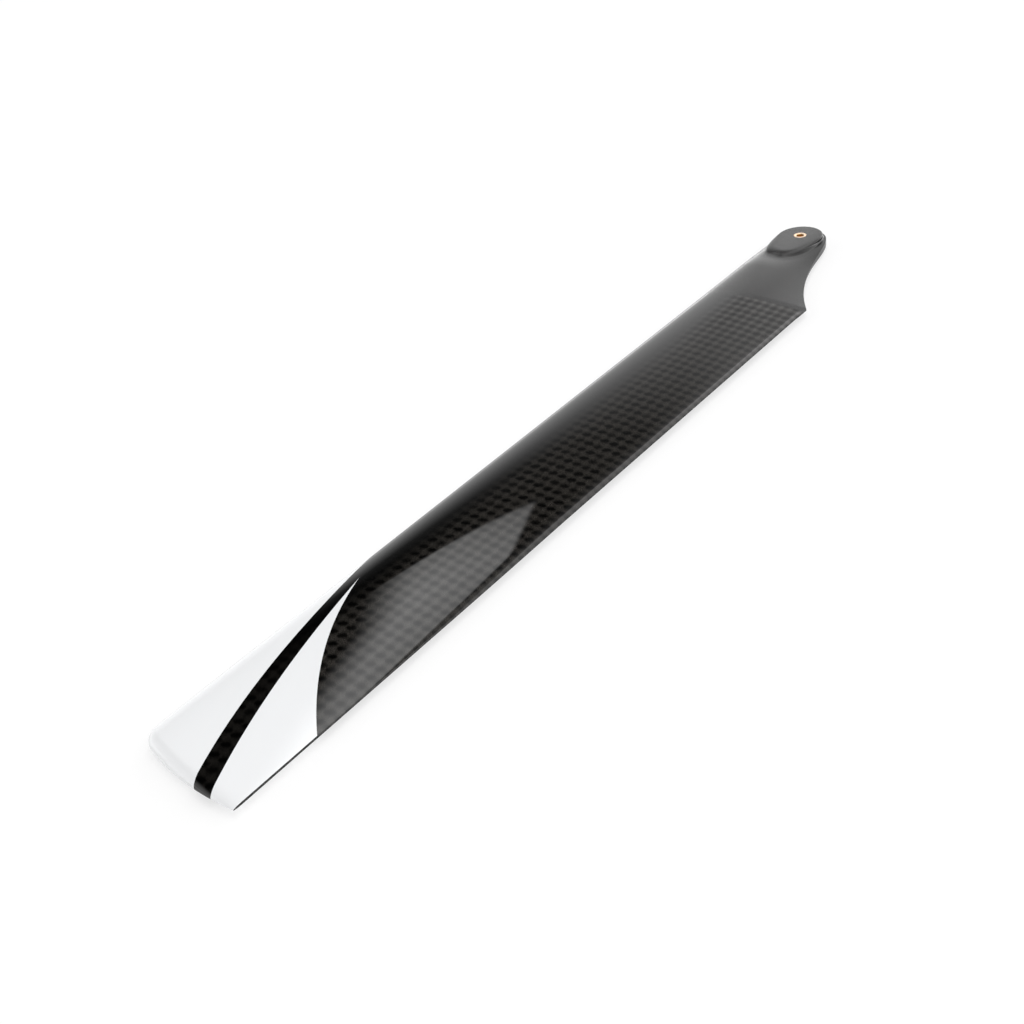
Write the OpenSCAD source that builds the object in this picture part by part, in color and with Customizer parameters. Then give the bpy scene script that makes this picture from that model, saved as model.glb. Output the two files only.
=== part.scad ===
// Main rotor blade of a model helicopter: one moulded carbon body and the bushing in its root.
// The origin is the middle of the bolt hole. +X runs out to the tip, +Y back to the trailing edge
// and +Z along the bolt.

/* [Blade] */
// Distance from the bolt hole to the tip
blade_l = 245; // [150:1:400]
// Chord, from the leading edge to the trailing edge
chord = 28; // [24:0.5:40]
// Greatest thickness of the aerofoil
section_t = 3.3; // [2.6:0.1:3.7]
// Thickness of the trailing edge
edge_t = 0.5; // [0.3:0.05:0.8]
// Distance from the leading edge back to the bolt hole, and radius of the root's round end
hole_to_front = 6.9; // [6.6:0.1:9]

/* [Tip] */
// Radius of the curve that ends the tip
tip_r = 68; // [45:1:120]
// Radius of the tip's leading corner
tip_corner_r = 6; // [3:0.5:10]
// Length over which the tip's edge rolls over
tip_roll = 2.5; // [1:0.5:6]

/* [Root] */
// Distance from the bolt hole to the corner where the root meets the trailing edge
root_corner_x = 38.8; // [30:0.1:60]
// Slope of the root's edge at that corner, in degrees
root_corner_a = 34.5; // [25:0.5:45]
// Direction from the bolt hole to where the edge leaves the round end, in degrees
root_leave_a = 136; // [115:1:150]
// Pull of the edge's curve along the round end
root_pull_in = 8.3; // [6:0.1:12]
// Pull of the edge's curve along the corner's slope
root_pull_out = 24.4; // [15:0.1:30]
// Thickness of the tang that carries the boss
tang_t = 1.6; // [1:0.1:2.4]
// Length over which the tang grows into the aerofoil
tang_run = 22; // [12:1:30]

/* [Boss] */
// Thickness of the boss, between its two flat faces
boss_t = 3.8; // [3.6:0.1:8]
// Reach of the boss from the bolt hole towards the hub
boss_in = 6.5; // [5:0.1:6.5]
// Reach of the boss from the bolt hole towards the tip
boss_out = 13.5; // [9:0.1:20]
// Half of the boss's width
boss_half_w = 6; // [4.5:0.1:6.4]
// Turn of the boss towards the leading edge, in degrees
boss_turn = 1.5; // [0:0.5:8]
// Chamfer round the boss's faces
boss_chamfer = 0.3; // [0.1:0.05:0.6]
// Length of the hollow fillet from the boss's outer end down to the blade
boss_fillet = 5; // [2:0.5:10]

/* [Bushing] */
// Diameter of the bolt hole
bolt_d = 2; // [1.6:0.1:2.8]
// Outer diameter of the bushing
bushing_d = 3.4; // [3.2:0.1:6]
// Chamfer at each mouth of the bolt hole
bushing_chamfer = 0.15; // [0.05:0.05:0.3]
// Glue line round the bushing
bond_gap = 0.02; // [0.01:0.01:0.05]

/* [Hidden] */
$fn = 64;

// Points from the leading edge to the trailing edge on one side of a section
section_n = 26;
// Sections round the root's end, along its edge, along the tip and over the tip's rolled edge
end_n = 7;
root_n = 22;
tip_n = 12;
roll_n = 8;
// Steps round the boss's outline
boss_n = 72;

// Lines of the two edges
front_y = -hole_to_front;
back_y = chord - hole_to_front;

// First section, as an angle round the bolt hole from the hub's side
end_first_a = 8;
// Angle at which the tip's roll stops and the parting line begins
roll_last_a = 80;
// Sharpness of the tang's front edge
tang_power = 12;

// Largest value of the thickness polynomial, which is reached at 30 % of the chord
aerofoil_peak = aerofoil(0.3);

// Set-back of the tip's leading corner, and where the sections begin to lean towards it
tip_set_back = tip_inset(0);
tip_lean_x = blade_l - 2.5 * tip_set_back;
tip_flat_x = blade_l - tip_roll;

function clamp(v) = min(1, max(0, v));

function smooth(v) = let (c = clamp(v)) c * c * (3 - 2 * c);

// Thickness of a symmetric four-digit aerofoil with a closed tail at the chord fraction s
function aerofoil(s) =
    0.2969 * sqrt(s) - 0.126 * s - 0.3516 * pow(s, 2) + 0.2843 * pow(s, 3) - 0.1036 * pow(s, 4);

// Half thickness of the blade and of the tang at the chord fraction s
function blade_half(s) = section_t / 2 * aerofoil(s) / aerofoil_peak + edge_t / 2 * s;

function tang_half(s) = tang_t / 2 * sqrt(1 - pow(1 - s, tang_power));

// Distance from the tip back to its outline at the chord fraction s: the end curve is centred on the
// trailing edge, and the corner's arc touches both that curve and the leading edge
function tip_inset(s) =
    let (
        back = chord * (1 - s),
        corner_back = chord - tip_corner_r,
        reach = tip_r - tip_corner_r,
        touch_back = corner_back * tip_r / reach
    )
    back < touch_back
        ? tip_r - sqrt(pow(tip_r, 2) - pow(back, 2))
        : tip_r - sqrt(pow(reach, 2) - pow(corner_back, 2))
            - sqrt(max(0, pow(tip_corner_r, 2) - pow(back - corner_back, 2)));

// Cubic curve of the root's rear edge, from the round end to the trailing edge
root_start = hole_to_front * [cos(root_leave_a), sin(root_leave_a)];
root_end = [root_corner_x, back_y];
root_curve = [
    root_start,
    root_start + root_pull_in * [sin(root_leave_a), -cos(root_leave_a)],
    root_end - root_pull_out * [cos(root_corner_a), sin(root_corner_a)],
    root_end
];

function cubic(p, u) =
    pow(1 - u, 3) * p[0] + 3 * pow(1 - u, 2) * u * p[1] + 3 * (1 - u) * u * u * p[2] + pow(u, 3) * p[3];

// Leading edge at x: the round end, then a straight line
function front_at(x) = x < 0 ? -sqrt(max(0, pow(hole_to_front, 2) - x * x)) : front_y;

// A point in the boss's own turned frame
function boss_place(x, y) =
    [x * cos(boss_turn) - y * sin(boss_turn), x * sin(boss_turn) + y * cos(boss_turn)];

// Height that the fillet adds at a point where the half thickness is h: full at the boss's outer end,
// none at its sides, and falling away in a hollow curve
function fillet_lift(x, y, h) =
    let (
        p = boss_place(x, y),
        q = [max(0, p[0]) / boss_out, p[1] / boss_half_w],
        rho = max(norm(q), 0.001),
        fade = clamp((rho - 1) * boss_out / boss_fillet)
    )
    max(0, boss_t / 2 - boss_chamfer - h) * pow(q[0] / rho, 2) * pow(1 - fade, 2);

// A section is [x, front y, back y, lean towards the tip's outline, share of the full thickness]
end_sections = [
    for (i = [0 : end_n - 1])
        let (a = end_first_a + (180 - root_leave_a - end_first_a) * i / (end_n - 1))
        [-hole_to_front * cos(a), -hole_to_front * sin(a), hole_to_front * sin(a), 0, 1]
];
root_sections = [
    for (i = [1 : root_n])
        let (p = cubic(root_curve, i / root_n))
        [p[0], front_at(p[0]), p[1], 0, 1]
];
tip_sections = [
    for (i = [0 : tip_n])
        let (t = i / tip_n)
        [tip_lean_x + (tip_flat_x - tip_lean_x) * t, front_y, back_y, t, 1]
];
roll_sections = [
    for (i = [1 : roll_n])
        let (a = roll_last_a * i / roll_n)
        [tip_flat_x + tip_roll * sin(a), front_y, back_y, 1, cos(a)]
];
sections = concat(end_sections, root_sections, tip_sections, roll_sections);

// Chord fractions, close together at the leading edge
fractions = [for (j = [0 : section_n]) 1 - cos(90 * j / section_n)];

// One point of a section's loop, which runs over the top to the leading edge and back underneath
function loop_point(c, k) =
    let (
        s = fractions[abs(section_n - k)],
        side = k < section_n ? 1 : -1,
        y = c[1] + (c[2] - c[1]) * s,
        grown = smooth(c[0] / tang_run),
        h = tang_half(s) + (blade_half(s) - tang_half(s)) * grown,
        lift = fillet_lift(c[0], y, h) * sign(s)
    )
    [c[0] - c[3] * tip_inset(s), y, side * c[4] * (h + lift)];

// Blade body: the loops joined from the root's round end to the tip
module loft() {
    loop_n = 2 * section_n + 1;
    last = (len(sections) - 1) * loop_n;
    points = [for (c = sections, k = [0 : loop_n - 1]) loop_point(c, k)];
    sides = [
        for (i = [0 : len(sections) - 2], k = [0 : loop_n - 1])
            let (
                a = i * loop_n + k,
                b = i * loop_n + (k + 1) % loop_n
            )
            each [[a, b + loop_n, b], [a, a + loop_n, b + loop_n]]
    ];
    ends = [
        for (k = [0 : section_n - 1], first = [0, last])
            let (
                face = k == section_n - 1
                    ? [k, k + 1, loop_n - 1 - k]
                    : [k, k + 1, loop_n - 2 - k, loop_n - 1 - k],
                turned = first > 0 ? [for (v = [len(face) - 1 : -1 : 0]) face[v]] : face
            )
            [for (v = turned) v + first]
    ];
    polyhedron(points = points, faces = concat(sides, ends), convexity = 6);
}

// Outline of the boss, drawn in by inset: two half ellipses that share the bolt hole as their centre
module boss_outline(inset) {
    rotate(-boss_turn)
        polygon([
            for (i = [0 : boss_n - 1])
                let (a = 360 * i / boss_n, reach = cos(a) > 0 ? boss_out : boss_in)
                [(reach - inset) * cos(a), (boss_half_w - inset) * sin(a)]
        ]);
}

// Boss with its two flat faces and the chamfer round them
module boss() {
    hull() {
        linear_extrude(boss_t, center = true) boss_outline(boss_chamfer);
        linear_extrude(boss_t - 2 * boss_chamfer, center = true) boss_outline(0);
    }
}

module rotor_blade() {
    color("dimgray")
        difference() {
            union() {
                loft();
                boss();
            }
            cylinder(h = boss_t + 2, d = bushing_d + 2 * bond_gap, center = true);
        }
}

// Bushing, flush with the boss's faces, turned from a bar
module bolt_bushing() {
    inner_r = bolt_d / 2;
    outer_r = bushing_d / 2;
    half = boss_t / 2;
    color("goldenrod")
        rotate_extrude()
            polygon([
                [inner_r, bushing_chamfer - half],
                [inner_r + bushing_chamfer, -half],
                [outer_r, -half],
                [outer_r, half],
                [inner_r + bushing_chamfer, half],
                [inner_r, half - bushing_chamfer]
            ]);
}

rotor_blade();
bolt_bushing();
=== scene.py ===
"""Main rotor blade of a model helicopter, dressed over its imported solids.

Sizes in the classes are millimetres in the part's own frame: the bolt hole is the origin, +X runs out to
the tip, +Y back to the trailing edge and +Z along the bolt. Meshes are written in metres, and
the lamp and the camera are placed in metres.
"""

import logging
import math
from dataclasses import dataclass, field
from enum import Enum
from typing import Any, Callable, Iterable, Optional, Sequence, Union

import bmesh
import bpy
import numpy as np
from mathutils import Matrix, Vector


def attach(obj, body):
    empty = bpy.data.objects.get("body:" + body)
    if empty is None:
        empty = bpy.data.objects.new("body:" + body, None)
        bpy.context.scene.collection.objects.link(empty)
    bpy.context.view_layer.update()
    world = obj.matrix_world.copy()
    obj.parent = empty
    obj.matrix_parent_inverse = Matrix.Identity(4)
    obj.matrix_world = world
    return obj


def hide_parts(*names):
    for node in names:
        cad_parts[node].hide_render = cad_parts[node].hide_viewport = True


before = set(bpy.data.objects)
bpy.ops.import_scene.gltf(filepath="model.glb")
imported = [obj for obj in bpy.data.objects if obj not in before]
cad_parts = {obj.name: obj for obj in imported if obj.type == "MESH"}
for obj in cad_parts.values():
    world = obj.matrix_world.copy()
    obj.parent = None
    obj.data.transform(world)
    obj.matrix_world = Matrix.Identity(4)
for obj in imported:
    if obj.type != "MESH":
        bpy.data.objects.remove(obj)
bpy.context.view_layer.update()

LOG = logging.getLogger("rotor_blade_scene")
MM = 0.001
Socket = bpy.types.NodeSocket
Pair = tuple[float, float]
Triple = tuple[float, float, float]
Colour = Cubic = tuple[float, float, float, float]
FULL_WHITE: Colour = (1.0, 1.0, 1.0, 1.0)

# Directions as the camera faces: up, level towards the root's side, and level to what lies behind the blade
UP = (0.0, 0.0, 1.0)
ASIDE = (-0.588, 0.809, 0.0)
BEHIND = (-0.772, -0.636, 0.0)


class Side(Enum):
    """Upper or lower skin of the blade, as the sign of its height."""

    UPPER = 1.0
    LOWER = -1.0


class Ray(Enum):
    """Light Path outputs to which the floor shows itself as plain white."""

    CAMERA = "Is Camera Ray"
    GLOSSY = "Is Glossy Ray"
    TRANSMISSION = "Is Transmission Ray"


def operator_for(operation: str, reflected: bool = False) -> Callable[..., "Shade"]:
    """Makes one operator of Shade.

    Args:
        operation: Operation of the Math node that the operator adds.
        reflected: Whether the other value comes first.

    Returns:
        The operator as a method.
    """

    def method(value: "Shade", *others: "Operand") -> "Shade":
        """Adds the Math node and returns its result."""
        return value.book.maths(operation, *((*others, value) if reflected else (value, *others)))

    return method


@dataclass(frozen=True)
class Shade:
    """A value socket that is written with like a number; each operator adds a Math node."""

    book: "ShaderBook"
    socket: Socket

    __add__, __radd__ = operator_for("ADD"), operator_for("ADD", reflected=True)
    __sub__, __rsub__ = operator_for("SUBTRACT"), operator_for("SUBTRACT", reflected=True)
    __mul__, __rmul__ = operator_for("MULTIPLY"), operator_for("MULTIPLY", reflected=True)
    __truediv__, __rtruediv__ = operator_for("DIVIDE"), operator_for("DIVIDE", reflected=True)
    __pow__, __abs__, __round__ = operator_for("POWER"), operator_for("ABSOLUTE"), operator_for("ROUND")
    least, most = operator_for("MINIMUM"), operator_for("MAXIMUM")
    above, cosine = operator_for("GREATER_THAN"), operator_for("COSINE")

    def rise(self, low: "Operand", high: "Operand") -> "Shade":
        """A smooth step from 0 at low to 1 at high.

        Args:
            low: Value at which the step begins.
            high: Value at which the step is done; less than low for a falling step.

        Returns:
            The step as a value from 0 to 1.
        """
        node = self.book.add(
            "ShaderNodeMapRange",
            {"interpolation_type": "SMOOTHSTEP"},
            {"Value": self, "From Min": low, "From Max": high},
        )
        return Shade(self.book, node.outputs["Result"])


Operand = Union[Shade, float, int]


class ShaderBook:
    """A node tree that is written from an empty page."""

    def __init__(self, tree: bpy.types.NodeTree) -> None:
        """Clears the tree of a material or a world."""
        self.tree = tree
        tree.nodes.clear()

    @classmethod
    def of_material(cls, name: str) -> tuple[bpy.types.Material, "ShaderBook"]:
        """Makes a material with an empty page.

        Args:
            name: The material's name.

        Returns:
            The material and its page.
        """
        material = bpy.data.materials.new(name)
        material.use_nodes = True
        return material, cls(material.node_tree)

    def add(
        self,
        kind: str,
        settings: Optional[dict[str, Any]] = None,
        sockets: Optional[dict[Union[str, int], Any]] = None,
    ) -> bpy.types.Node:
        """Makes any node, settings first, then its sockets.

        Args:
            kind: Node type, such as ShaderNodeTexNoise.
            settings: Attributes of the node; "stops" gives a ramp's places and colours.
            sockets: Values or links by the input's name or number.

        Returns:
            The new node.
        """
        node = self.tree.nodes.new(kind)
        for name, value in (settings or {}).items():
            if name == "stops":
                ramp = node.color_ramp
                while len(ramp.elements) < len(value):
                    ramp.elements.new(1.0)
                for element, (place, colour) in zip(ramp.elements, value):
                    element.position = place
                    element.color = colour
            else:
                setattr(node, name, value)
        for key, value in (sockets or {}).items():
            value = value.socket if isinstance(value, Shade) else value
            if isinstance(value, Socket):
                self.tree.links.new(value, node.inputs[key])
            else:
                node.inputs[key].default_value = value
        return node

    def maths(self, operation: str, *values: Operand) -> Shade:
        """Adds a Math node on the values in order and gives its result."""
        node = self.add("ShaderNodeMath", {"operation": operation}, dict(enumerate(values)))
        return Shade(self, node.outputs[0])

    def dot(self, vector: Socket, axis: Sequence[float]) -> Shade:
        """Dot product of a vector socket and a fixed axis."""
        node = self.add("ShaderNodeVectorMath", {"operation": "DOT_PRODUCT"}, {0: vector, 1: tuple(axis)})
        return Shade(self, node.outputs["Value"])

    def split(self, vector: Socket) -> tuple[Shade, ...]:
        """The three parts of a vector as values."""
        node = self.add("ShaderNodeSeparateXYZ", None, {0: vector})
        return tuple(Shade(self, output) for output in node.outputs)

    def join(self, x: Operand, y: Operand, z: Operand) -> Socket:
        """A vector from three values."""
        return self.add("ShaderNodeCombineXYZ", None, {0: x, 1: y, 2: z}).outputs[0]

    def blend(self, share: Operand, first: Any, second: Any) -> Socket:
        """Mixes two colours, or sockets of colours, by the share of the second."""
        node = self.add("ShaderNodeMix", {"data_type": "RGBA"}, {0: share, 6: first, 7: second})
        return node.outputs[2]

    def mix(self, share: Operand, first: Socket, second: Socket) -> Socket:
        """Mixes two shaders by the share of the second."""
        return self.add("ShaderNodeMixShader", None, {0: share, 1: first, 2: second}).outputs[0]

    def surface(self, shader: Socket) -> None:
        """Makes a shader the surface of the page's material."""
        self.add("ShaderNodeOutputMaterial", None, {0: shader})

    def noise(self, vector: Socket, scale: float, detail: float) -> Shade:
        """Soft random value about 0.5, from its lumps in one unit and the octaves of detail added to them."""
        node = self.add("ShaderNodeTexNoise", None, {"Vector": vector, "Scale": scale, "Detail": detail})
        return Shade(self, node.outputs[0])


@dataclass
class Sheet:
    """One rectangular or closed grid of points, with its place on the cloth.

    Args:
        points: Array of rows by columns by 3, in millimetres.
        cloth: Array of rows by columns by 2: distance along the span and round the section.
        closed: Whether the last column joins the first.
    """

    points: np.ndarray
    cloth: np.ndarray
    closed: bool = False

    def quads(self, first: int) -> np.ndarray:
        """Corner numbers of the grid's faces.

        Args:
            first: Number of the sheet's first point.

        Returns:
            Array of faces by 4.
        """
        rows, columns = self.points.shape[:2]
        number = first + np.arange(rows * columns).reshape(rows, columns)
        if self.closed:
            number = np.concatenate([number, number[:, :1]], axis=1)
        corners = [number[:-1, :-1], number[1:, :-1], number[1:, 1:], number[:-1, 1:]]
        return np.stack(corners, axis=-1).reshape(-1, 4)


class MeshMaker:
    """Sews sheets into one closed mesh; faces thinner than a share of the weld are dropped."""

    thin_share = 0.2

    @staticmethod
    def sew(name: str, sheets: Sequence[Sheet], weld: float, crease: float) -> bpy.types.Object:
        """Writes the sheets, merges their seams, turns the faces outwards and shades them.

        Args:
            name: Name of the object and its mesh.
            sheets: Sheets whose edges meet.
            weld: Distance within which points are one, in millimetres.
            crease: Angle above which an edge stays sharp, in degrees.

        Returns:
            The object, linked to the scene.
        """
        counts = [sheet.points.shape[0] * sheet.points.shape[1] for sheet in sheets]
        starts = np.concatenate([[0], np.cumsum(counts)[:-1]])
        points = np.concatenate([sheet.points.reshape(-1, 3) for sheet in sheets]) * MM
        cloth = np.concatenate([sheet.cloth.reshape(-1, 2) for sheet in sheets])
        faces = np.concatenate([sheet.quads(int(start)) for sheet, start in zip(sheets, starts)])
        mesh = bpy.data.meshes.new(name)
        mesh.vertices.add(len(points))
        mesh.vertices.foreach_set("co", points.astype(np.float32).ravel())
        mesh.loops.add(faces.size)
        mesh.loops.foreach_set("vertex_index", faces.astype(np.int32).ravel())
        mesh.polygons.add(len(faces))
        mesh.polygons.foreach_set("loop_start", np.arange(0, faces.size, 4, dtype=np.int32))
        mesh.update(calc_edges=True)
        layer = mesh.uv_layers.new(name="cloth")
        layer.uv.foreach_set("vector", cloth[faces.ravel()].astype(np.float32).ravel())
        MeshMaker._close(mesh, weld * MM)
        mesh.polygons.foreach_set("use_smooth", np.ones(len(mesh.polygons), dtype=bool))
        mesh.set_sharp_from_angle(angle=math.radians(crease))
        piece = bpy.data.objects.new(name, mesh)
        bpy.context.scene.collection.objects.link(piece)
        return piece

    @staticmethod
    def _close(mesh: bpy.types.Mesh, weld: float) -> None:
        """Merges doubles, drops faces without area and turns the rest outwards.

        Args:
            mesh: Mesh to close.
            weld: Distance within which points are one, in metres.
        """
        page = bmesh.new()
        page.from_mesh(mesh)
        bmesh.ops.remove_doubles(page, verts=page.verts, dist=weld)
        bmesh.ops.dissolve_degenerate(page, dist=weld * MeshMaker.thin_share, edges=page.edges)
        bmesh.ops.recalc_face_normals(page, faces=page.faces)
        open_edges = sum(1 for edge in page.edges if not edge.is_manifold)
        page.to_mesh(mesh)
        page.free()
        mesh.update()
        LOG.info("%s: %d open edges after sewing", mesh.name, open_edges)


@dataclass(frozen=True)
class TowCell:
    """Where a point lies in the cloth.

    Width and run are its distances across and along the nearest float of the first family, in tow widths. Column
    and row are that float's whole numbers along the span and round the section.
    """

    width: Shade
    run: Shade
    column: Shade
    row: Shade

    def crossing(self) -> Shade:
        """Cosine of the width times cosine of the run: 1 on the first family's floats, -1 on the second's."""
        return (self.width * math.pi).cosine() * (self.run * math.pi).cosine()

    def crown(self) -> Shade:
        """How far the point lies on a tow of the second family: 1 at its crown, 0 at the first family's."""
        return 0.5 - self.crossing() * 0.5

    def height(self) -> Shade:
        """Height of the cloth: each float is a low crown that dips under at both ends."""
        crossing = self.crossing()
        return crossing * crossing


@dataclass(frozen=True)
class WeaveFinish:
    """Plain weave of carbon tows laid across the span both ways, under a filled clear coat.

    A pair of numbers gives the two values between which a share rises from 0 to 1. The seeds only set the noise
    of one float apart from the next. The cloth's colours are painted light: dark is painted shade on the floats
    where the tows cross, light is the tows' painted sheen, with a painted highlight on their crowns.
    """

    start_x: float = 40.5
    start_soft: float = 0.2
    pitch_x: float = 2.78
    pitch_y: float = 2.42
    lean: float = 0.07
    cell_x: float = 97.87
    cell_y: float = 4.68
    wander: float = 0.24
    wander_scale: float = 0.45
    wander_seeds: Pair = (3.0, 17.0)
    float_w: float = 0.54
    float_l: float = 0.66
    float_edge: Pair = (-0.1, 0.85)
    float_least: float = 0.55
    float_range: Pair = (0.25, 0.6)
    float_seeds: Triple = (7.3, 5.9, 0.5)
    slant: float = 0.28
    streak_w: float = 1.2
    streak_l: float = 5.0
    streak_range: Pair = (0.3, 0.7)
    streak_seeds: Triple = (2.3, 3.1, 1.7)
    streak_share: float = 0.4
    crown_highlight: float = 0.65
    base_share: float = 0.05
    nose_y: Pair = (-1.5, 6.0)
    # dark paints the shade on the floats where tows cross; light paints the tows' sheen
    dark: Colour = (0.0010, 0.00095, 0.0009, 1.0)
    light: Colour = (0.0275, 0.0250, 0.0222, 1.0)
    nose: Colour = (0.0007, 0.0007, 0.0007, 1.0)
    coat_dip: float = 0.22
    root_dip: float = 0.2
    root_x: Pair = (80.0, 45.0)
    coat_roughness: float = 0.03

    def cell(self, book: ShaderBook, along: Shade, across: Shade) -> TowCell:
        """Places a point in the cloth.

        The two families of tows are the whole-number lines of s + t and s - t, where s and t are the distances
        along the span and round the section in steps of the weave, wandering a little with two noises.

        Args:
            book: Page to write on.
            along: Distance along the span.
            across: Distance round the section.

        Returns:
            The point's place at the nearest float.
        """
        y = across - self.cell_y
        x = along - self.cell_x - y * self.lean
        sway, heave = (
            book.noise(book.join(along, across, seed), self.wander_scale, 1.0) - 0.5 for seed in self.wander_seeds
        )
        s = x / self.pitch_x + sway * self.wander
        t = y / self.pitch_y + heave * self.wander
        column, row = round(s), round(t)
        off_s, off_t = s - column, t - row
        return TowCell(off_s + off_t, off_s - off_t, column, row)

    def float_shade(self, book: ShaderBook, cell: TowCell) -> Shade:
        """Share to which a point lies in a dark float, the painted shade where the tows cross.

        A float is a slanted lens: 1 less its share of the width and the fourth power of its share of the length.
        Each float has a depth of its own.

        Args:
            book: Page to write on.
            cell: The point's place in the cloth.

        Returns:
            The share, 0 to 1.
        """
        lens = 1.0 - abs(cell.width + cell.run * self.slant) / self.float_w - (cell.run / self.float_l) ** 4.0
        by_column, by_row, seed = self.float_seeds
        own = book.noise(book.join(cell.column * by_column, cell.row * by_row, seed), 1.0, 0.0)
        depth = own.rise(*self.float_range) * (1.0 - self.float_least) + self.float_least
        # Painted shade: the lens darkens the cloth as a shadow at each crossing
        return lens.rise(*self.float_edge) * depth

    def colour(self, book: ShaderBook, cell: TowCell, cover: Shade) -> Socket:
        """Colour of the cloth: painted shade on the floats among tows with a painted sheen, and a plain resin
        nose.

        Args:
            book: Page to write on.
            cell: The point's place in the cloth.
            cover: Share of cloth against plain resin.

        Returns:
            Colour socket.
        """
        by_row, by_column, by_layer = self.streak_seeds
        place = book.join(
            cell.width * self.streak_w + cell.row * by_row,
            cell.run * self.streak_l + cell.column * by_column,
            cell.row * by_layer,
        )
        streak = book.noise(place, 1.0, 2.0).rise(*self.streak_range)
        # Painted sheen on the tows: fibre streaks and a painted highlight on each crown
        tow_sheen = streak * self.streak_share + cell.crown() * self.crown_highlight + self.base_share
        painted_sheen = (1.0 - self.float_shade(book, cell)) * tow_sheen
        tow = book.blend(painted_sheen.least(1.0), self.dark, self.light)
        return book.blend(cover, self.nose, tow)

    def dip(self, cell: TowCell, x: Shade) -> Shade:
        """Weight that the coat loses off the crowns of the second family, more of it near the root.

        Args:
            cell: The point's place in the cloth.
            x: Distance along the span.

        Returns:
            The loss.
        """
        crown = cell.crown()
        near_root = (1.0 - crown * crown) * x.rise(*self.root_x) * self.root_dip
        return (1.0 - crown) * self.coat_dip + near_root


@dataclass(frozen=True)
class TipMarking:
    """White fields of the tip, parted by a bare stripe, with edges that are cubics of the span."""

    base_x: float = 180.0
    length: float = 65.0
    start_x: Pair = (168.0, 169.0)
    part_x: Pair = (178.0, 186.0)
    front: Cubic = (-5.84, 11.67, 0.79, 4.97)
    rear: Cubic = (-3.68, 14.42, 1.14, 3.88)
    sweep: Cubic = (-4.05, 18.7, 17.56, 13.85)
    wall_y: float = 21.07
    wall_soft: float = 0.04
    soft: float = 0.05
    white: Colour = (0.850, 0.858, 0.868, 1.0)

    def edge(self, x: Shade, terms: Sequence[float]) -> Shade:
        """Height of a field's edge at x: a cubic of the share of the marked length, constant term first."""
        t = (x - self.base_x) / self.length
        return ((terms[3] * t + terms[2]) * t + terms[1]) * t + terms[0]

    def _past(self, distance: Shade) -> Shade:
        """1 past an edge and 0 before it, from the distance past it."""
        return distance.rise(-self.soft, self.soft)

    def stripe(self, x: Shade, y: Shade) -> Shade:
        """1 on the bare stripe between the two fields, past where they part."""
        behind, before = y - self.edge(x, self.front), self.edge(x, self.rear) - y
        return self._past(behind) * self._past(before) * x.rise(*self.part_x)

    def mask(self, x: Shade, y: Shade) -> Shade:
        """1 where the tip is white.

        Args:
            x: Distance along the span.
            y: Distance from the bolt line to the trailing edge.

        Returns:
            Share of white, 0 to 1.
        """
        before = self._past(self.edge(x, self.front) - y)
        behind = self._past(y - self.edge(x, self.rear))
        inside = self._past(self.edge(x, self.sweep) - y)
        skin = y.rise(self.wall_y, self.wall_y - self.wall_soft)
        return before.most(behind * inside) * x.rise(*self.start_x) * skin


@dataclass(frozen=True)
class RootFinish:
    """Smooth dark resin of the root, with softer patches and a fine grain, under a satin coat."""

    colour: Colour = (0.0020, 0.0019, 0.0018, 1.0)
    worn: Colour = (0.0085, 0.0082, 0.0078, 1.0)
    patch_scale: float = 260.0
    patch_range: Pair = (0.40, 0.70)
    patch_share: float = 0.55
    grain_scale: float = 5200.0
    coat_dip: float = 0.34
    dip_y: Pair = (-1.0, 9.0)
    coat_roughness: float = 0.2

    def tone(self, book: ShaderBook, place: Socket) -> Socket:
        """Colour of the resin: broad patches and grain mixed from two noises.

        Args:
            book: Page to write on.
            place: Object coordinates in metres.

        Returns:
            Colour socket.
        """
        patches = book.noise(place, self.patch_scale, 3.0).rise(*self.patch_range)
        grain = book.noise(place, self.grain_scale, 1.0)
        share = patches * self.patch_share + grain * (1.0 - self.patch_share)
        return book.blend(share, self.colour, self.worn)

    def coat(self, y: Shade) -> Shade:
        """Weight of the coat, which falls off towards the rear edge."""
        return 1.0 - y.rise(*self.dip_y) * self.coat_dip


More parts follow.
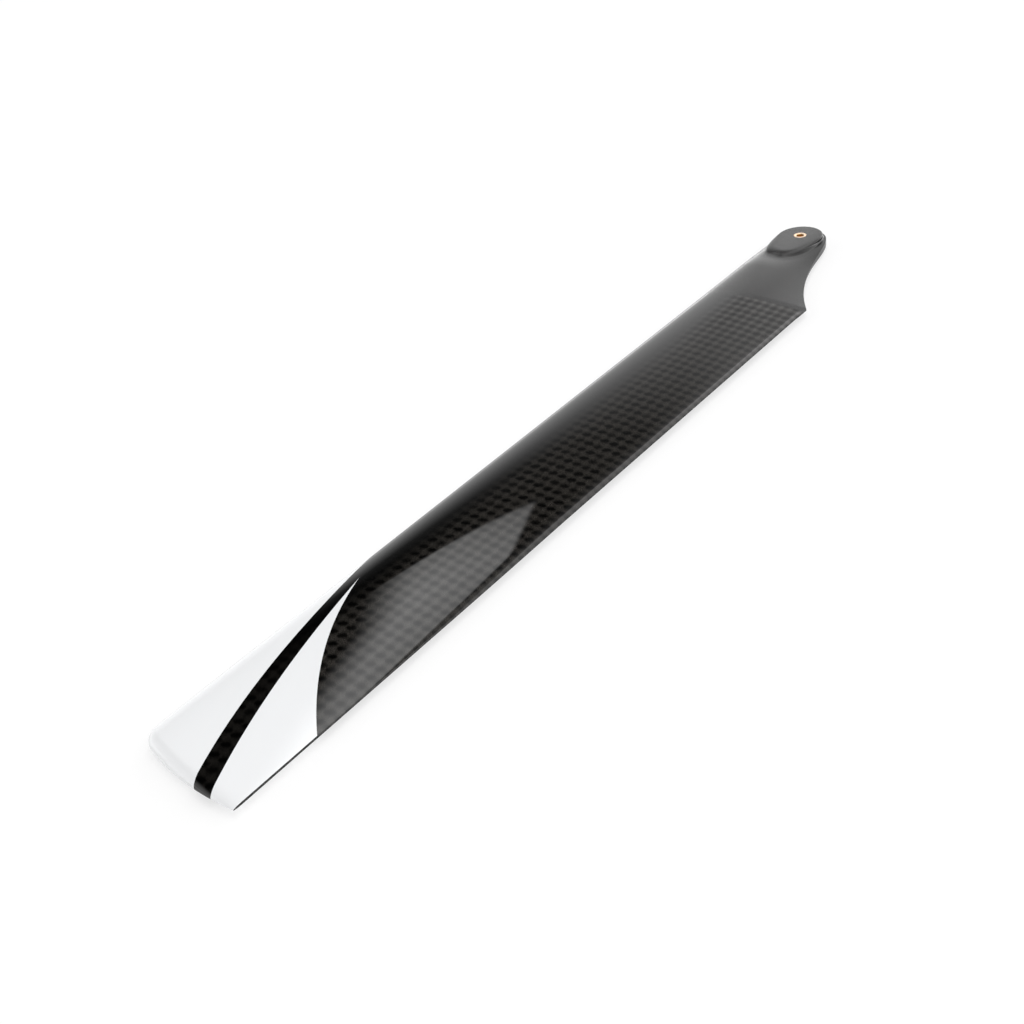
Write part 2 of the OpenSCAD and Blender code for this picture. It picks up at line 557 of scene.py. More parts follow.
@dataclass(frozen=True)
class BladeFinish:
    """The blade's one finish: cloth, paint and root resin under a clear coat."""

    weave: WeaveFinish = field(default_factory=WeaveFinish)
    marking: TipMarking = field(default_factory=TipMarking)
    root: RootFinish = field(default_factory=RootFinish)
    roughness: float = 0.42
    ior: float = 1.02
    relief: float = 0.35
    relief_h: float = 0.08
    stripe_plain: float = 0.7

    def _coated(self, book: ShaderBook, sockets: dict[str, Any]) -> Socket:
        """One coated surface; its base is of so low an index that only the coat mirrors."""
        base = {"Roughness": self.roughness, "IOR": self.ior}
        return book.add("ShaderNodeBsdfPrincipled", None, {**base, **sockets}).outputs[0]

    def material(self) -> bpy.types.Material:
        """Writes the blade's material.

        Returns:
            The material.
        """
        material, book = ShaderBook.of_material("coated_carbon")
        place = book.add("ShaderNodeTexCoord").outputs["Object"]
        x, y, _ = (part / MM for part in book.split(place))
        cloth = book.add("ShaderNodeUVMap", {"uv_map": "cloth"})
        along, across, _ = book.split(cloth.outputs[0])
        cell = self.weave.cell(book, along, across)
        white = self.marking.mask(x, y)
        cover = y.rise(*self.weave.nose_y) * (1.0 - self.marking.stripe(x, y) * self.stripe_plain)
        shown = cover * (1.0 - white)
        bump = book.add(
            "ShaderNodeBump",
            None,
            {"Strength": self.relief, "Distance": self.relief_h * MM, "Height": cell.height() * shown},
        )
        cloth_sockets = {
            "Base Color": book.blend(white, self.weave.colour(book, cell, cover), self.marking.white),
            "Coat Weight": 1.0 - shown * self.weave.dip(cell, x),
            "Coat Roughness": self.weave.coat_roughness,
            "Normal": bump.outputs[0],
        }
        root_sockets = {
            "Base Color": self.root.tone(book, place),
            "Coat Weight": self.root.coat(y),
            "Coat Roughness": self.root.coat_roughness,
        }
        start, soft = self.weave.start_x, self.weave.start_soft
        woven = x.rise(start - soft, start + soft)
        book.surface(book.mix(woven, self._coated(book, root_sockets), self._coated(book, cloth_sockets)))
        return material


@dataclass(frozen=True)
class BrassFinish:
    """Bright turned brass with fine rings round its axis, and painted shade inside the bore."""

    colour: Colour = (0.90, 0.67, 0.48, 1.0)
    shade: Colour = (0.72, 0.47, 0.29, 1.0)
    # bore is painted shade: a darker brass on the bore's wall and mouth, between the radii of bore_r
    bore: Colour = (0.82, 0.57, 0.28, 1.0)
    bore_r: Pair = (1.14, 1.02)
    patina_scale: float = 900.0
    patina_range: Pair = (0.45, 0.75)
    patina_share: float = 0.5
    ring_scale: float = 9.0
    ring_rough: float = 0.12
    roughness: float = 0.22

    def material(self) -> bpy.types.Material:
        """Writes the bushing's material.

        Returns:
            The material.
        """
        material, book = ShaderBook.of_material("turned_brass")
        place = book.add("ShaderNodeTexCoord").outputs["Object"]
        x, y, z = (part / MM for part in book.split(place))
        radius = (x * x + y * y) ** 0.5
        rings = book.noise(book.join(radius, z, 0.0), self.ring_scale, 3.0)
        patina = book.noise(place, self.patina_scale, 2.0).rise(*self.patina_range)
        face = book.blend(patina * self.patina_share, self.colour, self.shade)
        shader = book.add(
            "ShaderNodeBsdfPrincipled",
            None,
            {
                # The bore's wall and mouth take the painted shade of the hole
                "Base Color": book.blend(radius.rise(*self.bore_r), face, self.bore),
                "Metallic": 1.0,
                "Roughness": self.roughness + rings * self.ring_rough,
            },
        )
        book.surface(shader.outputs[0])
        return material


@dataclass
class RotorBlade:
    """The moulded body: a lofted skin, a root that narrows to a round end, and a flat boss.

    Names that end in _n count points, those in _a are angles in degrees and those in _s are chord fractions.
    """

    length: float = 245.0
    chord: float = 28.0
    section_t: float = 3.3
    edge_t: float = 0.5
    peak_s: float = 0.3
    nose_s: Pair = (0.01, 0.0101)
    hole_to_front: float = 6.9
    tip_r: float = 68.0
    tip_corner_r: float = 6.0
    tip_roll: float = 2.5
    tip_inside: float = 0.0005
    lean_run: float = 2.5
    roll_last_a: float = 80.0
    end_first_a: float = 8.0
    root_corner_x: float = 38.8
    root_corner_a: float = 34.5
    root_leave_a: float = 136.0
    root_front_a: float = 270.0
    root_pull_in: float = 8.3
    root_pull_out: float = 24.4
    tang_t: float = 1.6
    tang_run: float = 22.0
    tang_power: float = 12.0
    boss_t: float = 3.8
    boss_in: float = 6.5
    boss_out: float = 13.5
    boss_half_w: float = 6.0
    boss_turn: float = 1.5
    boss_round: float = 0.3
    boss_fillet: float = 5.0
    boss_foot: float = 0.3
    boss_soft: float = 3.2
    boss_full: float = 2.4
    boss_clear: float = 0.2
    ease_turn: float = -0.05
    foot_ease: float = 1.6
    foot_share: float = 0.45
    bend_share: float = 0.9
    edge_roll: float = 1.2
    edge_least: float = 0.01
    edge_turn: float = 0.96
    edge_near_x: Pair = (39.0, 45.0)
    edge_far_x: Pair = (195.0, 145.0)
    wall_a: Pair = (195.0, 165.0)
    bore_r: float = 1.72
    cut_x: float = 20.0
    tail_share: float = 0.05
    tail_power: float = 1.6
    main_s: float = 0.945
    middle_s: float = 0.4
    curve_n: int = 4001
    chord_n: int = 96
    tail_n: int = 19
    arc_n: tuple[int, int] = (200, 400)
    span_n: tuple[int, ...] = (29, 61, 33, 25)
    loop_n: tuple[int, ...] = (73, 81, 65)
    ring_n: tuple[int, ...] = (13, 10, 9, 33)
    wall_n: int = 4
    bore_n: int = 3
    finish: BladeFinish = field(default_factory=BladeFinish)

    @property
    def front_y(self) -> float:
        """Line of the leading edge."""
        return -self.hole_to_front

    @property
    def back_y(self) -> float:
        """Line of the trailing edge."""
        return self.chord - self.hole_to_front

    @staticmethod
    def _rise(value: np.ndarray, low: float, high: float) -> np.ndarray:
        """Smooth step from 0 at low to 1 at high: 3 times the share's square less 2 times its cube."""
        held = np.clip((value - low) / (high - low), 0.0, 1.0)
        return held * held * (3.0 - 2.0 * held)

    @staticmethod
    def _aerofoil(s: np.ndarray) -> np.ndarray:
        """Thickness polynomial of a symmetric four-digit section with a closed tail."""
        return 0.2969 * np.sqrt(s) - 0.126 * s - 0.3516 * s**2 + 0.2843 * s**3 - 0.1036 * s**4

    def _blade_half(self, s: np.ndarray) -> np.ndarray:
        """Half thickness of the blade: the polynomial scaled to its peak, plus a blunt trailing edge."""
        peak = self._aerofoil(np.array(self.peak_s))
        return self.section_t / 2 * self._aerofoil(s) / peak + self.edge_t / 2 * s

    def _tang_half(self, s: np.ndarray) -> np.ndarray:
        """Half thickness of the tang: level, with a full round at its front edge."""
        return self.tang_t / 2 * np.sqrt(np.maximum(0.0, 1.0 - (1.0 - s) ** self.tang_power))

    def _tip_inset(self, s: np.ndarray) -> np.ndarray:
        """Distance from the tip back to its outline.

        The end is an arc centred on the trailing edge's line, and a smaller arc touches both that arc and the
        leading edge.

        Args:
            s: Chord fraction from the leading edge.

        Returns:
            The inset.
        """
        back = self.chord * (1.0 - s)
        corner_back = self.chord - self.tip_corner_r
        reach = self.tip_r - self.tip_corner_r
        touch = corner_back * self.tip_r / reach
        end = self.tip_r - np.sqrt(self.tip_r**2 - back**2)
        rounding = np.sqrt(np.maximum(0.0, self.tip_corner_r**2 - (back - corner_back) ** 2))
        corner = self.tip_r - math.sqrt(reach**2 - corner_back**2) - rounding
        return np.where(back < touch, end, corner)

    def _root_edge(self, u: np.ndarray) -> np.ndarray:
        """Rear edge of the root: a cubic curve from the round end to the trailing edge.

        Args:
            u: Shares of the curve, 0 at the round end.

        Returns:
            Array of points by 2.
        """
        leave, corner = math.radians(self.root_leave_a), math.radians(self.root_corner_a)
        start = self.hole_to_front * np.array([math.cos(leave), math.sin(leave)])
        end = np.array([self.root_corner_x, self.back_y])
        pull = start + self.root_pull_in * np.array([math.sin(leave), -math.cos(leave)])
        push = end - self.root_pull_out * np.array([math.cos(corner), math.sin(corner)])
        u = np.asarray(u, float)[:, None]
        return (1 - u) ** 3 * start + 3 * (1 - u) ** 2 * u * pull + 3 * (1 - u) * u**2 * push + u**3 * end

    def _front_at(self, x: np.ndarray) -> np.ndarray:
        """Leading edge at x: the round end, then a straight line."""
        round_end = -np.sqrt(np.maximum(0.0, self.hole_to_front**2 - np.minimum(x, 0.0) ** 2))
        return np.where(x < 0.0, round_end, self.front_y)

    def _curve(self) -> tuple[np.ndarray, np.ndarray]:
        """Rear edge of the root in fine steps: shares of the curve, and its points."""
        share = np.linspace(0.0, 1.0, self.curve_n)
        return share, self._root_edge(share)

    def _cut_share(self) -> float:
        """Share of the root's rear edge at which the cut meets it."""
        share, curve = self._curve()
        return float(np.interp(self.cut_x, curve[:, 0], share))

    def _back_at(self, x: np.ndarray) -> np.ndarray:
        """Rear edge at x: the round end, the root's curve, then the trailing edge.

        Args:
            x: Distances along the span.

        Returns:
            The edge's y.
        """
        curve = self._curve()[1]
        along = np.interp(x, curve[:, 0], curve[:, 1])
        round_end = np.sqrt(np.maximum(0.0, self.hole_to_front**2 - np.minimum(x, 0.0) ** 2))
        return np.where(x < curve[0, 0], round_end, along)

    def _half(self, x: np.ndarray, y: np.ndarray, s: np.ndarray) -> np.ndarray:
        """Half thickness of the body outside the boss.

        The tang's section turns into the aerofoil over the run, and a hollow fillet is added off the boss's outer
        end, full at that end, none at its sides.

        Args:
            x: Distance along the span.
            y: Distance from the bolt line.
            s: Chord fraction.

        Returns:
            Half thickness.
        """
        grown = self._rise(x, 0.0, self.tang_run)
        tang = self._tang_half(s)
        half = tang + (self._blade_half(s) - tang) * grown
        turn = math.radians(self.boss_turn)
        ahead = np.maximum(0.0, x * math.cos(turn) - y * math.sin(turn)) / self.boss_out
        aside = (x * math.sin(turn) + y * math.cos(turn)) / self.boss_half_w
        least_rho = 0.001
        rho = np.maximum(np.hypot(ahead, aside), least_rho)
        fade = np.clip((rho - 1.0) * self.boss_out / self.boss_fillet, 0.0, 1.0)
        room = np.maximum(0.0, self.boss_t / 2 - self.boss_round - half)
        return half + room * (ahead / rho) ** 2 * (1.0 - fade) ** 2 * np.sign(s)

    def _cloth_v(self, y: np.ndarray, side: Side) -> np.ndarray:
        """Distance round the section from the leading edge, negative underneath.

        The nose adds the arc that the blade's own section has over its chord; at mid chord the distance is y.

        Args:
            y: Distance from the bolt line.
            side: Upper or lower skin.

        Returns:
            The distance, less what brings the upper skin's middle to y.
        """
        (nose_end, rest), (nose_n, rest_n) = self.nose_s, self.arc_n
        s = np.concatenate([np.linspace(0.0, nose_end, nose_n), np.linspace(rest, 1.0, rest_n)])
        step = np.hypot(np.diff(s * self.chord), np.diff(self._blade_half(s)))
        extra = np.concatenate([[0.0], np.cumsum(step)]) - s * self.chord
        share = np.clip((y - self.front_y) / self.chord, 0.0, 1.0)
        arc = (y - self.front_y) + np.interp(share, s, extra)
        middle = float(np.interp(self.middle_s, s, extra)) - self.front_y
        return side.value * arc - middle

    def _fractions(self) -> np.ndarray:
        """Chord fractions: 1 less the cosine of even angles, then a tail that closes up to the trailing edge.

        Returns:
            Fractions from 0 to 1.
        """
        main = 1.0 - np.cos(np.linspace(0.0, np.pi / 2, self.chord_n + 1))
        tail = 1.0 - self.tail_share * np.linspace(1.0, 0.0, self.tail_n) ** self.tail_power
        return np.concatenate([main[main < self.main_s], tail])

    @staticmethod
    def _wall(plan: np.ndarray, half: np.ndarray, rows: int, closed: bool = False) -> Sheet:
        """A wall across the thickness, from the upper skin's edge straight down to the lower skin's.

        Args:
            plan: Points by 2 along the edge.
            half: Half thickness at each point.
            rows: Points from top to bottom.
            closed: Whether the last point joins the first.

        Returns:
            The wall.
        """
        rise = np.linspace(1.0, -1.0, rows)[:, None]
        points = np.concatenate([np.repeat(plan[None], rows, axis=0), (rise * half)[..., None]], axis=-1)
        return Sheet(points, points[..., :2].copy(), closed)

    def _span_sheets(self) -> list[Sheet]:
        """Skin from the cut near the root out to the tip.

        Each station is one section between the front and rear edges. Towards the tip the sections lean back
        along the end's outline, and the last ones shrink to nothing round a quarter circle, which rolls the
        edge over. The trailing edge is rounded by a quarter ellipse that fades out at both ends.

        Returns:
            Upper skin, lower skin and the trailing edge's wall.
        """
        s = self._fractions()
        root_n, main_n, tip_n, roll_n = self.span_n
        flat = self.length - self.tip_roll
        reach = self.tip_roll * math.sin(math.radians(self.roll_last_a)) - self.tip_inside
        lean_x = self.length - self.lean_run * float(self._tip_inset(np.array(0.0)))
        root_x = self._root_edge(np.linspace(self._cut_share(), 1.0, root_n))[:, 0]
        root_x[0] = self.cut_x
        main_x = np.linspace(self.root_corner_x, lean_x, main_n)[1:]
        tip_x = np.linspace(lean_x, flat, tip_n)[1:]
        turn = np.linspace(0.0, np.pi / 2, roll_n)[1:]
        x = np.concatenate([root_x, main_x, tip_x, flat + reach * np.sin(turn)])
        lean = np.clip((x - lean_x) / (flat - lean_x), 0.0, 1.0)
        share = np.concatenate([np.ones(len(root_x) + len(main_x) + len(tip_x)), np.cos(turn)])
        front, back = self._front_at(x), self._back_at(x)
        grid_x, grid_s = np.meshgrid(x, s, indexing="ij")
        grid_y = front[:, None] + (back - front)[:, None] * grid_s
        half = self._half(grid_x, grid_y, grid_s) * share[:, None]
        near, far = self._rise(x, *self.edge_near_x), self._rise(x, *self.edge_far_x)
        roll = np.maximum(self.edge_roll * near * far, self.edge_least)[:, None]
        turned = np.clip(1.0 - (back[:, None] - grid_y) / roll, 0.0, 1.0)
        half = half * np.sqrt(1.0 - (self.edge_turn * (near * far)[:, None] * turned) ** 2)
        place_x = grid_x - lean[:, None] * self._tip_inset(grid_s)
        sheets = []
        for side in Side:
            points = np.stack([place_x, grid_y, side.value * half], axis=-1)
            cloth = np.stack([place_x, self._cloth_v(grid_y, side)], axis=-1)
            sheets.append(Sheet(points, cloth))
        rear = np.stack([place_x[:, -1], grid_y[:, -1]], axis=1)
        wall = self._wall(rear, half[:, -1], self.wall_n)
        return sheets + [Sheet(wall.points.swapaxes(0, 1), wall.cloth.swapaxes(0, 1))]

    def _root_loop(self) -> tuple[np.ndarray, np.ndarray, np.ndarray]:
        """Outline of the root patch, once round the bolt hole from the leading edge's end of the cut.

        Returns:
            Points, whether each lies on the wall of the rear edge, and whether each lies on the cut.
        """
        s = self._fractions()
        rear_n, end_n, front_n = self.loop_n
        back = float(self._back_at(np.array([self.cut_x]))[0])
        cut = np.stack([np.full(len(s), self.cut_x), self.front_y + (back - self.front_y) * s], axis=1)
        rear = self._root_edge(np.linspace(self._cut_share(), 0.0, rear_n))[1:]
        angle = np.radians(np.linspace(self.root_leave_a, self.root_front_a, end_n)[1:])
        end = self.hole_to_front * np.stack([np.cos(angle), np.sin(angle)], axis=1)
        front_x = np.linspace(0.0, self.cut_x, front_n)[1:-1]
        front = np.stack([front_x, np.full(len(front_x), self.front_y)], axis=1)
        points = np.concatenate([cut, rear, end, front])
        fade = self._rise(np.degrees(angle), *self.wall_a)
        wall = np.concatenate([np.zeros(len(cut)), np.ones(len(rear)), fade, np.zeros(len(front))])
        wall[len(cut) - 1] = 1.0
        on_cut = np.zeros(len(points))
        on_cut[: len(cut)] = 1.0
        return points, wall, on_cut

    def _boss_reach(self, angle: np.ndarray) -> np.ndarray:
        """Radius of the boss's outline at an angle round the bolt hole.

        Two half ellipses share the hole as their centre. The outer one is filled out with a higher power.

        Args:
            angle: Angles from the span.

        Returns:
            Radii.
        """
        turned = angle + math.radians(self.boss_turn)
        ahead, aside = np.cos(turned), np.abs(np.sin(turned))
        reach = np.where(ahead > 0.0, self.boss_out, self.boss_in)
        power = 2.0 + (self.boss_full - 2.0) * np.maximum(0.0, ahead) ** 0.5
        return ((np.abs(ahead) / reach) ** power + (aside / self.boss_half_w) ** power) ** (-1.0 / power)

    def _web(self, x: np.ndarray, y: np.ndarray) -> np.ndarray:
        """Half thickness at any point of the root, by its share of the way between the two edges.

        Args:
            x: Distance along the span.
            y: Distance from the bolt line.

        Returns:
            Half thickness.
        """
        front, back = self._front_at(x), self._back_at(x)
        s = np.clip((y - front) / np.maximum(back - front, 1e-6), 0.0, 1.0)
        return self._half(x, y, s)

    def _root_sheets(self) -> list[Sheet]:
        """Root patch with its boss, as rings round the bolt hole.

        From the bore outwards, the rings cross the boss's flat face, turn over its edge, drop to a small hollow
        foot, and follow the web's half thickness to the outline, closer together near the edge. The edge and the
        foot are quarter circles at the boss's sides and ease into wide parabolas at its outer end.

        Returns:
            Upper sheet, lower sheet, rear edge's wall and bore.
        """
        loop, wall, on_cut = self._root_loop()
        flat_n, over_n, foot_n, web_n = self.ring_n
        angle = np.arctan2(loop[:, 1], loop[:, 0])
        out = np.hypot(loop[:, 0], loop[:, 1])
        reach = np.minimum(self._boss_reach(angle), out - self.boss_clear)
        way = np.stack([np.cos(angle), np.sin(angle)], axis=1)
        top, edge = self.boss_t / 2, self.boss_round
        eased = np.maximum(0.0, np.cos(angle + self.ease_turn)) ** 2
        wide = edge + (self.boss_soft - edge) * eased
        flat_r = self.bore_r + (reach - wide - self.bore_r) * np.linspace(0.0, 1.0, flat_n)[:, None]
        flat_z = np.full_like(flat_r, top)
        step = np.linspace(0.0, 1.0, over_n)[1:, None]
        over = step * np.pi / 2
        over_r = reach - wide + wide * ((1.0 - eased) * np.sin(over) + eased * step)
        over_z = top - edge * ((1.0 - eased) * (1.0 - np.cos(over)) + eased * step**2)
        foot = np.minimum(self.boss_foot + self.foot_ease * eased, self.foot_share * (out - reach))
        foot_xy = way * (reach + foot)[:, None]
        low = self._web(foot_xy[:, 0], foot_xy[:, 1])
        drop = np.maximum(0.0, top - edge - low)
        bend = np.minimum(foot, self.bend_share * drop)
        fall = np.linspace(0.0, 1.0, foot_n)[:, None]
        hollow = fall * np.pi / 2
        foot_r = reach + foot * ((1.0 - eased) * (1.0 - np.cos(hollow)) + eased * fall)
        foot_z = low + (1.0 - eased) * bend * (1.0 - np.sin(hollow)) + eased * drop * (1.0 - fall) ** 2
        share = 1.0 - (1.0 - np.linspace(0.0, 1.0, web_n)[1:, None]) ** 2.0
        web_r = reach + foot + (out - reach - foot) * share
        web_z = self._web(web_r * way[:, 0], web_r * way[:, 1])
        edge_z = self._web(loop[:, 0], loop[:, 1])
        rear_z = self._half(loop[:, 0], loop[:, 1], np.ones(len(loop)))
        web_z[-1] = np.where(on_cut > 0.0, edge_z, wall * rear_z)
        radius = np.concatenate([flat_r, over_r, foot_r, web_r])
        height = np.concatenate([flat_z, over_z, foot_z, web_z])
        plan = radius[..., None] * way
        plan[-1] = loop
        plan[..., 0] = np.maximum(plan[..., 0], -self.hole_to_front * math.cos(math.radians(self.end_first_a)))
        sheets = []
        for side in Side:
            points = np.concatenate([plan, side.value * height[..., None]], axis=-1)
            sheets.append(Sheet(points, plan.copy(), closed=True))
        rear = np.nonzero(wall > 0.0)[0]
        sheets.append(self._wall(plan[-1, rear], height[-1, rear], self.wall_n))
        sheets.append(self._wall(plan[0], height[0], self.bore_n, closed=True))
        return sheets

    def build(self) -> bpy.types.Object:
        """Builds and dresses the body.

        Returns:
            The blade's object.
        """
        sheets = self._span_sheets() + self._root_sheets()
        piece = MeshMaker.sew("carbon_blade", sheets, weld=0.002, crease=38.0)
        piece.data.materials.append(self.finish.material())
        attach(piece, "root")
        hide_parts("rotor_blade")
        return piece


@dataclass
class BoltBushing:
    """Brass bushing, flush with the boss, turned from a bar."""

    bolt_d: float = 2.0
    outer_d: float = 3.4
    height: float = 3.8
    mouth: float = 0.15
    break_edge: float = 0.05
    steps: int = 128
    corner_n: int = 5
    face_n: int = 6
    finish: BrassFinish = field(default_factory=BrassFinish)

    def _profile(self) -> np.ndarray:
        """Half section, round from the middle of the bore: mouth chamfer, flat face, broken edge, outside.

        Returns:
            Closed array of points by radius and height.
        """
        inner, outer, half = self.bolt_d / 2, self.outer_d / 2, self.height / 2
        bend = np.linspace(0.0, np.pi / 2, self.corner_n)
        turned = self.break_edge * np.stack([np.sin(bend), np.cos(bend)], axis=1)
        corner = np.array([outer, half]) - self.break_edge + turned
        mouth = np.array([[inner, 0.0], [inner, half - self.mouth], [inner + self.mouth, half]])
        face_r = np.linspace(inner + self.mouth, outer - self.break_edge, self.face_n)[1:-1]
        face = np.stack([face_r, np.full(len(face_r), half)], axis=1)
        upper = np.concatenate([mouth, face, corner, [[outer, 0.0]]])
        lower = upper[-2:0:-1] * np.array([1.0, -1.0])
        return np.concatenate([upper, lower, upper[:1]])

    def build(self) -> bpy.types.Object:
        """Carries the half section round the bolt's axis and dresses it.

        Returns:
            The bushing's object.
        """
        profile = self._profile()
        angle = np.linspace(0.0, 2.0 * np.pi, self.steps, endpoint=False)
        points = np.stack(
            [
                profile[:, :1] * np.cos(angle),
                profile[:, :1] * np.sin(angle),
                np.repeat(profile[:, 1:], self.steps, axis=1),
            ],
            axis=-1,
        )
        sheet = Sheet(points, points[..., :2].copy(), closed=True)
        piece = MeshMaker.sew("brass_bushing", [sheet], weld=0.001, crease=30.0)
        piece.data.materials.append(self.finish.material())
        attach(piece, "root")
        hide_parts("bolt_bushing")
        return piece


@dataclass(frozen=True)
class LowGlow:
    """Low glow behind the blade, fading upwards and reaching higher towards the root's side.

    Stops are shares of the reach with the level there.
    """

    shear: float = 0.45
    shear_ends: Pair = (-0.35, 0.25)
    lift: float = 0.034
    reach: float = 0.65
    peak: float = 4.5
    stops: tuple[Pair, ...] = (
        (0.0, 4.5), (0.077, 4.1), (0.154, 3.1), (0.231, 1.95), (0.308, 1.45), (0.385, 1.36), (0.462, 1.18),
        (0.538, 1.08), (0.615, 0.97), (0.692, 0.76), (0.769, 0.45), (0.846, 0.10), (0.923, 0.02), (1.0, 0.0),
    )
    behind: Pair = (-0.5, 0.6)
    all_round: float = 0.3
    root_more: float = 0.28
    root_side: Pair = (0.13, 0.2)

    def strength(self, book: ShaderBook, way: Socket) -> Shade:
        """Strength of the glow in a direction.

        Args:
            book: Page to write on.
            way: Direction socket.

        Returns:
            The strength.
        """
        low, high = self.shear_ends
        aside = book.dot(way, ASIDE).most(low).least(high)
        height = (book.dot(way, UP) - self.shear * aside + self.lift) / self.reach
        ramp = book.add(
            "ShaderNodeValToRGB",
            {"stops": [(place, (level / self.peak,) * 3 + (1.0,)) for place, level in self.stops]},
            {"Fac": height},
        )
        level = book.dot(ramp.outputs[0], (self.peak / 3,) * 3)
        behind = book.dot(way, BEHIND).rise(*self.behind)
        more = 1.0 + self.root_more * aside.rise(*self.root_side)
        return level * (self.all_round + (1.0 - self.all_round) * behind) * more


@dataclass(frozen=True)
class SoftWindow:
    """Soft window high behind the blade: a turned rectangle with one cut corner and one feathered side.

    Its edges are lines in p and q: a direction's places aside and upwards on a plane square to the axis.
    """

    axis: Triple = (-0.6077, -0.4663, 0.6428)
    aside: Triple = (-0.6088, 0.7934, 0.0)
    upward: Triple = (0.51, 0.3913, 0.766)
    least_depth: float = 0.05
    front_only: float = 0.3
    turn: float = 0.243
    crisp: float = 0.004
    bottom: float = -0.0725
    end: float = 0.08
    corner: float = 0.138
    corner_slope: float = 1.48
    side: float = -0.045
    side_slope: float = 0.45
    feather: float = 0.03
    top: Pair = (0.30, 0.18)
    level: float = 1.35
    level_most: float = 2.5
    climb: float = 14.0
    climb_q: float = 0.084
    fall: float = 7.5
    fall_p: float = 0.01

    def strength(self, book: ShaderBook, way: Socket) -> Shade:
        """Strength of the window in a direction.

        Args:
            book: Page to write on.
            way: Direction socket.

        Returns:
            The strength.
        """
        ahead = book.dot(way, self.axis)
        depth = ahead.most(self.least_depth)
        p, q = book.dot(way, self.aside) / depth, book.dot(way, self.upward) / depth
        bottom = (q - self.turn * p).rise(self.bottom - self.crisp, self.bottom + self.crisp)
        end = (p - self.turn * q).rise(self.end + self.crisp, self.end - self.crisp)
        corner = (q + self.corner_slope * p).rise(self.corner + self.crisp, self.corner - self.crisp)
        side = (p - (self.side + self.side_slope * q.least(0.0))).rise(-self.feather, self.feather)
        shape = bottom * end * corner * side * q.rise(*self.top)
        climb = (self.level + self.climb * (q + self.climb_q)).least(self.level_most)
        level = climb - self.fall * (p + self.fall_p).most(0.0)
        return shape * level * ahead.above(self.front_only)


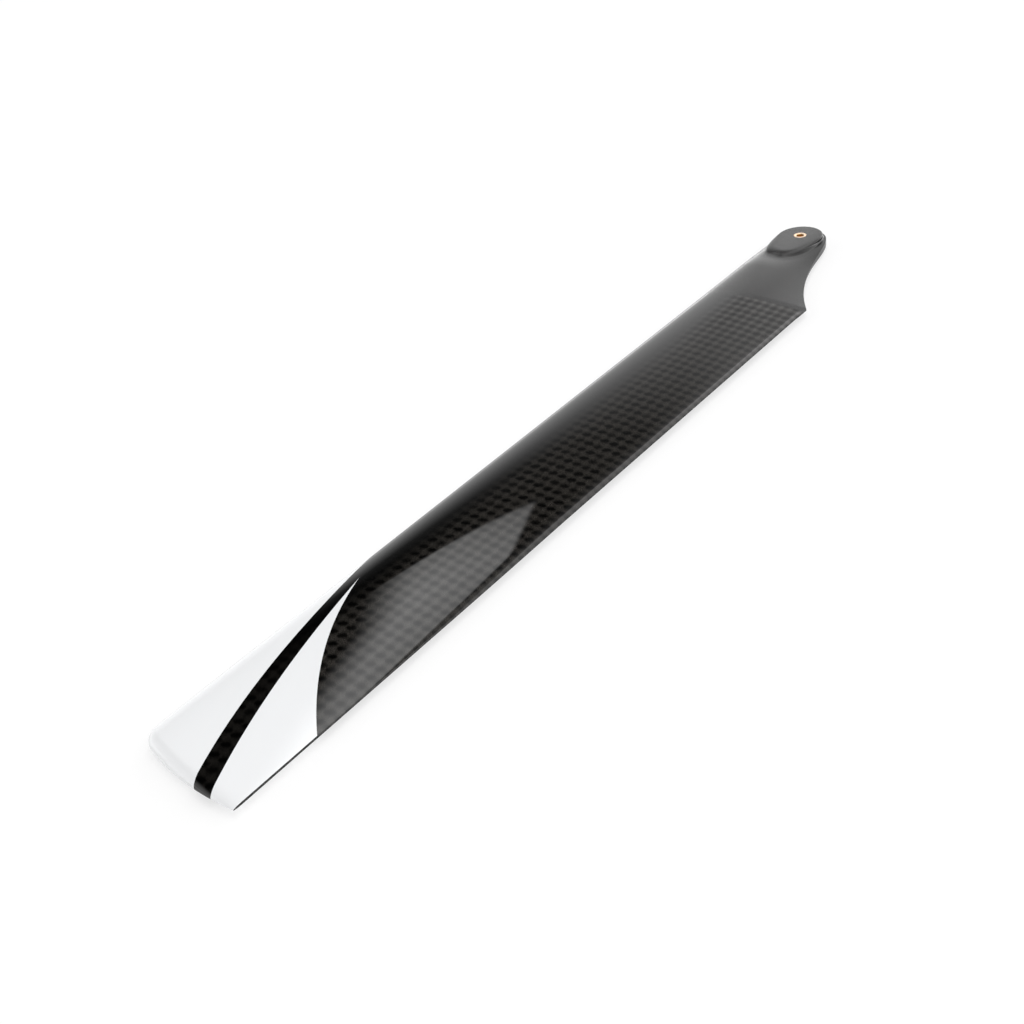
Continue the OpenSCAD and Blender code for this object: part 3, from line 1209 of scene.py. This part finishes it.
@dataclass
class Studio:
    """White floor under a wide lamp, in white surroundings that hold what the blade mirrors.

    The surroundings have a low glow, a soft window, a glow overhead and a fill from the tip's side. The lamp's
    sizes are metres.
    """

    floor_z: float = -1.92
    floor_r: float = 4000.0
    floor_least_r: float = 1.0
    floor_rings: int = 24
    floor_steps: int = 96
    lamp_x: float = 0.12
    lamp_height: float = 1.3
    lamp_size: float = 1.0
    lamp_watts: float = 3.0
    white: Colour = (0.98, 0.98, 0.98, 1.0)
    own_white: float = 0.68
    overhead: float = 1.25
    overhead_lean: float = 0.9
    overhead_edge: Pair = (0.70, 0.78)
    overhead_up: Pair = (0.30, 0.55)
    tip_fill: float = 1.2
    tip_side: Pair = (-0.5, -0.85)
    tip_up: Pair = (-0.1, 0.1)
    glow: LowGlow = field(default_factory=LowGlow)
    window: SoftWindow = field(default_factory=SoftWindow)

    def build(self) -> None:
        """Makes the floor, the surroundings and the lamp."""
        self._floor()
        self._surroundings()
        self._lamp()

    def _floor(self) -> None:
        """A disc of rings round the origin: radius grows with the square of the ring's share."""
        share = np.linspace(0.0, 1.0, self.floor_rings + 1)[1:, None] ** 2
        angle = np.linspace(0.0, 2.0 * np.pi, self.floor_steps, endpoint=False)
        radius = self.floor_least_r + (self.floor_r - self.floor_least_r) * share
        level = np.full((self.floor_rings, self.floor_steps), self.floor_z)
        points = np.stack([radius * np.cos(angle), radius * np.sin(angle), level], axis=-1)
        disc = np.concatenate([points[:1] * np.array(UP), points])
        floor = MeshMaker.sew("studio_floor", [Sheet(disc, disc[..., :2] * MM, True)], weld=0.001, crease=60.0)
        material, book = ShaderBook.of_material("white_floor")
        path = book.add("ShaderNodeLightPath")
        seen = sum((Shade(book, path.outputs[ray.value]) for ray in Ray), 0.0)
        matt = book.add("ShaderNodeBsdfDiffuse", None, {"Color": self.white})
        shown = book.add("ShaderNodeEmission", None, {"Color": FULL_WHITE, "Strength": 1.0})
        book.surface(book.mix(seen.least(1.0) * self.own_white, matt.outputs[0], shown.outputs[0]))
        floor.data.materials.append(material)

    def _surroundings(self) -> None:
        """World by direction: plain white to the camera, glows, window and fill to everything else."""
        world = bpy.data.worlds.new("studio_surroundings")
        world.use_nodes = True
        bpy.context.scene.world = world
        book = ShaderBook(world.node_tree)
        way = book.add("ShaderNodeTexCoord").outputs["Generated"]
        up, aside = book.dot(way, UP), book.dot(way, ASIDE)
        above = (up + aside * self.overhead_lean).rise(*self.overhead_edge) * up.rise(*self.overhead_up)
        fill = aside.rise(*self.tip_side) * up.rise(*self.tip_up)
        mirrored = self.glow.strength(book, way) + self.window.strength(book, way)
        light = mirrored + above * self.overhead + fill * self.tip_fill
        path = book.add("ShaderNodeLightPath")
        seen = Shade(book, path.outputs[Ray.CAMERA.value])
        strength = seen + (1.0 - seen) * light
        back = book.add("ShaderNodeBackground", None, {"Color": FULL_WHITE, "Strength": strength})
        book.add("ShaderNodeOutputWorld", None, {0: back.outputs[0]})

    def _lamp(self) -> None:
        """Round area lamp straight above the blade, too high for its upper skin to mirror to the camera."""
        data = bpy.data.lights.new("overhead_lamp", "AREA")
        data.shape = "DISK"
        data.size = self.lamp_size
        data.energy = self.lamp_watts
        lamp = bpy.data.objects.new("overhead_lamp", data)
        lamp.location = (self.lamp_x, 0.0, self.lamp_height)
        lamp.visible_camera = False
        bpy.context.scene.collection.objects.link(lamp)


@dataclass
class ViewCamera:
    """Camera at the photograph's place, level of roll and field of view."""

    place: Triple = (0.366227, 0.186057, 0.169033)
    right: Triple = (-0.574774, 0.810737, -0.111086)
    down: Triple = (0.47922, 0.223447, -0.848775)
    ahead: Triple = (-0.663312, -0.541088, -0.516953)
    lens: float = 55.647
    sensor: float = 36.0
    clip: Pair = (0.005, 50.0)

    def build(self) -> None:
        """Makes the camera the scene's own."""
        data = bpy.data.cameras.new("view")
        data.lens = self.lens
        data.sensor_width = self.sensor
        data.clip_start, data.clip_end = self.clip
        camera = bpy.data.objects.new("view", data)
        turn = Matrix((self.right, -Vector(self.down), -Vector(self.ahead))).transposed()
        camera.matrix_world = Matrix.Translation(self.place) @ turn.to_4x4()
        bpy.context.scene.collection.objects.link(camera)
        bpy.context.scene.camera = camera


def main() -> None:
    """Builds the camera, the studio and the two pieces."""
    logging.basicConfig(level=logging.INFO, format="%(message)s")
    bpy.context.scene.view_settings.view_transform = "Standard"
    ViewCamera().build()
    Studio().build()
    for piece in (RotorBlade().build(), BoltBushing().build()):
        LOG.info("%s: %d faces", piece.name, len(piece.data.polygons))
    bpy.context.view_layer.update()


if __name__ == "__main__":
    main()
